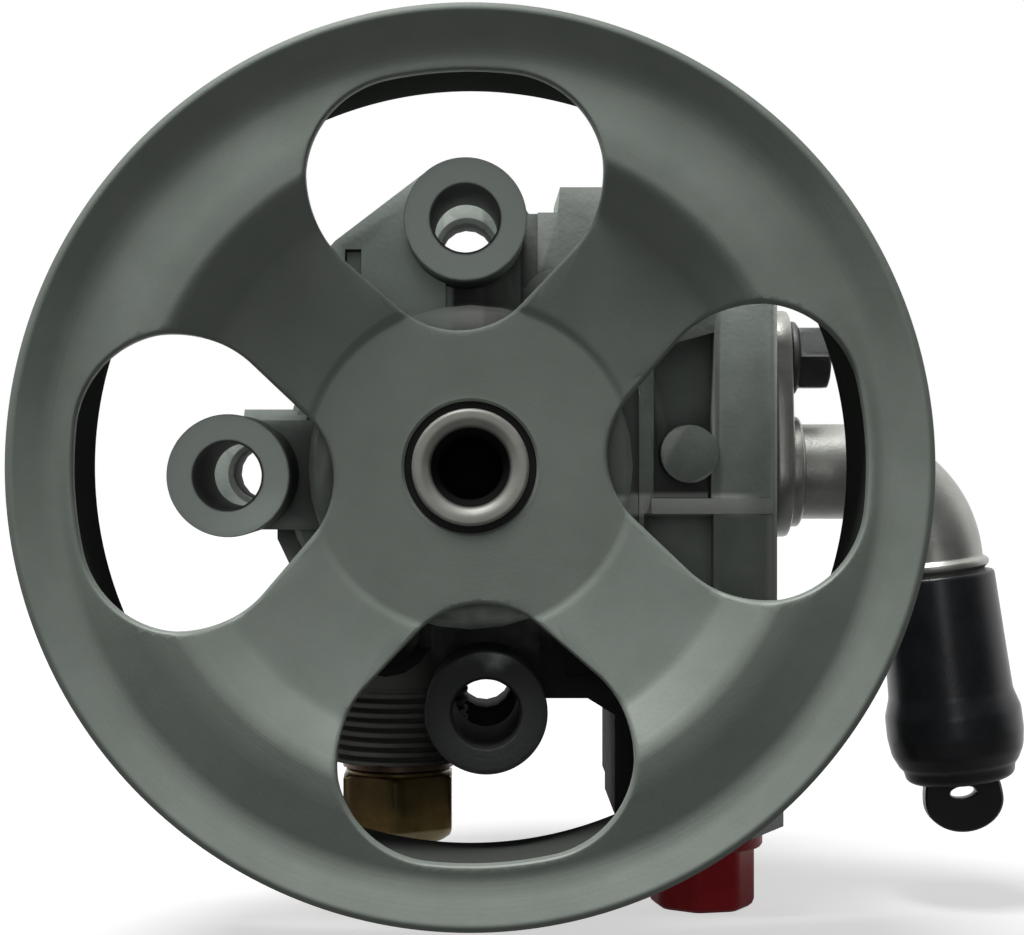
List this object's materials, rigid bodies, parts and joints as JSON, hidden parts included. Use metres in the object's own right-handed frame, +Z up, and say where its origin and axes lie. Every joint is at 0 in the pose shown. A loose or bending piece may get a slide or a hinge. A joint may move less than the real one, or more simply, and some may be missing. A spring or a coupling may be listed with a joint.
{
  "type": "power steering pump",
  "caption": "Vane pump for power steering: dished belt pulley with windows, die-cast housing with bored lugs, bent suction pipe with rubber cap, red port plug.",
  "frame": {"origin": "on the shaft axis, in the plane of the front lug faces", "axes": "+Y along the shaft from the pulley to the rear cover, +Z up as pictured, +X towards the suction pipe"},
  "size_m": [0.1606, 0.0933, 0.1414],
  "materials": {
    "pulley_steel": "satin grey",
    "cast_alloy": "as cast",
    "machined_steel": "ground",
    "satin_pipe": "satin",
    "dark_bolt": "blackened",
    "sintered_iron": "matt",
    "bush_bronze": "plain",
    "seal_rubber": "matt",
    "yellow_zinc": "yellow zinc plated",
    "washer_copper": "plain",
    "cap_rubber": "soft gloss",
    "red_plastic": "satin"
  },
  "bodies": {
    "casing": {"bearing_outer_race": "machined_steel", "bearing_circlip": "machined_steel", "shaft_seal": "seal_rubber", "shaft_bush": "bush_bronze", "front_side_plate": "machined_steel", "cam_ring": "machined_steel", "rear_side_plate": "machined_steel", "dowel_pin_1": "machined_steel", "dowel_pin_2": "machined_steel", "front_housing": "cast_alloy", "rear_cover": "cast_alloy", "cover_o_ring": "seal_rubber", "plate_o_ring": "seal_rubber", "cover_bolt_1": "dark_bolt", "cover_bolt_2": "dark_bolt", "cover_bolt_3": "dark_bolt", "cover_bolt_4": "dark_bolt", "inlet_elbow": "satin_pipe", "inlet_o_ring": "seal_rubber", "inlet_bolt": "dark_bolt", "valve_spring": "machined_steel", "outlet_union": "machined_steel", "union_o_ring": "seal_rubber", "gallery_plug": "yellow_zinc", "gallery_washer": "washer_copper"},
    "shaft_group": {"pulley": "pulley_steel", "pulley_hub": "machined_steel", "drive_shaft": "machined_steel", "bearing_inner_race": "machined_steel", "rotor": "sintered_iron", "rotor_circlip": "machined_steel"},
    "ball_cage": {"bearing_balls": "machined_steel"},
    "vane_slot_1": {"vane_1": "machined_steel"},
    "vane_slot_2": {"vane_2": "machined_steel"},
    "vane_slot_3": {"vane_3": "machined_steel"},
    "vane_slot_4": {"vane_4": "machined_steel"},
    "vane_slot_5": {"vane_5": "machined_steel"},
    "vane_slot_6": {"vane_6": "machined_steel"},
    "vane_slot_7": {"vane_7": "machined_steel"},
    "vane_slot_8": {"vane_8": "machined_steel"},
    "vane_slot_9": {"vane_9": "machined_steel"},
    "vane_slot_10": {"vane_10": "machined_steel"},
    "spool": {"valve_spool": "machined_steel"},
    "cap": {"inlet_cap": "cap_rubber"},
    "plug": {"outlet_plug": "red_plastic"}
  },
  "joints": [
    {"name": "shaft_spin", "type": "hinge", "parent": "casing", "child": "shaft_group", "pos_m": [0, 0, 0], "axis": [0, 1, 0], "continuous": true},
    {"name": "cage_spin", "type": "hinge", "parent": "casing", "child": "ball_cage", "pos_m": [0, 0, 0], "axis": [0, 1, 0], "continuous": true},
    {"name": "vane_1_slide", "type": "slide", "parent": "shaft_group", "child": "vane_slot_1", "axis": [1, 0, 0], "range_m": [-0.0012, 0]},
    {"name": "vane_2_slide", "type": "slide", "parent": "shaft_group", "child": "vane_slot_2", "axis": [0.809, 0, 0.5878], "range_m": [-0.0012, 0]},
    {"name": "vane_3_slide", "type": "slide", "parent": "shaft_group", "child": "vane_slot_3", "axis": [0.309, 0, 0.9511], "range_m": [-0.0012, 0]},
    {"name": "vane_4_slide", "type": "slide", "parent": "shaft_group", "child": "vane_slot_4", "axis": [-0.309, 0, 0.9511], "range_m": [-0.0012, 0]},
    {"name": "vane_5_slide", "type": "slide", "parent": "shaft_group", "child": "vane_slot_5", "axis": [-0.809, 0, 0.5878], "range_m": [-0.0012, 0]},
    {"name": "vane_6_slide", "type": "slide", "parent": "shaft_group", "child": "vane_slot_6", "axis": [-1, 0, 0], "range_m": [-0.0012, 0]},
    {"name": "vane_7_slide", "type": "slide", "parent": "shaft_group", "child": "vane_slot_7", "axis": [-0.809, 0, -0.5878], "range_m": [-0.0012, 0]},
    {"name": "vane_8_slide", "type": "slide", "parent": "shaft_group", "child": "vane_slot_8", "axis": [-0.309, 0, -0.9511], "range_m": [-0.0012, 0]},
    {"name": "vane_9_slide", "type": "slide", "parent": "shaft_group", "child": "vane_slot_9", "axis": [0.309, 0, -0.9511], "range_m": [-0.0012, 0]},
    {"name": "vane_10_slide", "type": "slide", "parent": "shaft_group", "child": "vane_slot_10", "axis": [0.809, 0, -0.5878], "range_m": [-0.0012, 0]},
    {"name": "spool_slide", "type": "slide", "parent": "casing", "child": "spool", "axis": [0, 0, 1], "range_m": [0, 0.01], "stiffness_N_per_m": 1500, "springref_m": -0.005, "deforming": ["valve_spring"]},
    {"name": "cap_pull", "type": "slide", "parent": "casing", "child": "cap", "axis": [0.1184, 0, -0.993], "range_m": [0, 0.04]},
    {"name": "plug_pull", "type": "slide", "parent": "casing", "child": "plug", "axis": [0, 0, -1], "range_m": [0, 0.02]}
  ],
  "couplings": [
    {"joint": "cage_spin", "follows": "shaft_spin", "ratio": 0.3818}
  ]
}
